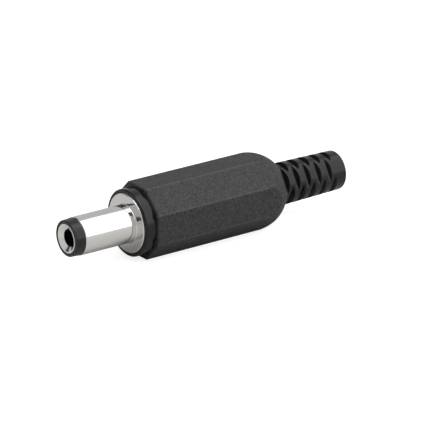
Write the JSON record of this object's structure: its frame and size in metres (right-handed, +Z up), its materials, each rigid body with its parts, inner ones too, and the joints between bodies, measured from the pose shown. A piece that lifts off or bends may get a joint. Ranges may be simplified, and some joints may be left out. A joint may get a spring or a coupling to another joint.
{
  "type": "dc barrel plug",
  "caption": "Cable-mounted coaxial DC power plug: plated barrel with centre bore, flange, octagonal screw-on handle and slotted strain relief.",
  "frame": {"origin": "on the plug's axis, in the plane of the flange's front face, where the barrel starts", "axes": "+X along the barrel's axis towards its tip, +Z up, square to the handle flat that the plug lies on"},
  "size_m": [0.0469, 0.0104, 0.0104],
  "materials": {
    "handle_plastic": "fine-grained matte moulding with a smoother collar and strain relief",
    "plated_shell": "bright nickel plating on turned brass",
    "insulator_plastic": "smooth moulded",
    "plated_contact": "bright nickel plating on turned brass",
    "bush_plastic": "smooth moulded",
    "tag_plating": "tinned brass sheet",
    "clear_sleeve": "thin clear tube"
  },
  "bodies": {
    "handle": {"handle": "handle_plastic"},
    "sleeve": {"insulating_sleeve": "clear_sleeve"},
    "plug_insert": {"barrel_contact": "plated_shell", "tip_insulator": "insulator_plastic", "centre_contact": "plated_contact", "rear_insulator": "bush_plastic", "outer_tag": "tag_plating", "centre_tag": "tag_plating"}
  },
  "joints": [
    {"name": "insert_travel", "type": "slide", "parent": "handle", "child": "sleeve", "axis": [1, 0, 0], "range_m": [0, 0.0045]},
    {"name": "insert_screw", "type": "hinge", "parent": "sleeve", "child": "plug_insert", "pos_m": [0, 0, 0], "axis": [1, 0, 0], "range_deg": [0, 2160]}
  ],
  "couplings": [
    {"joint": "insert_screw", "follows": "insert_travel", "rad_per_m": 8377.5}
  ]
}
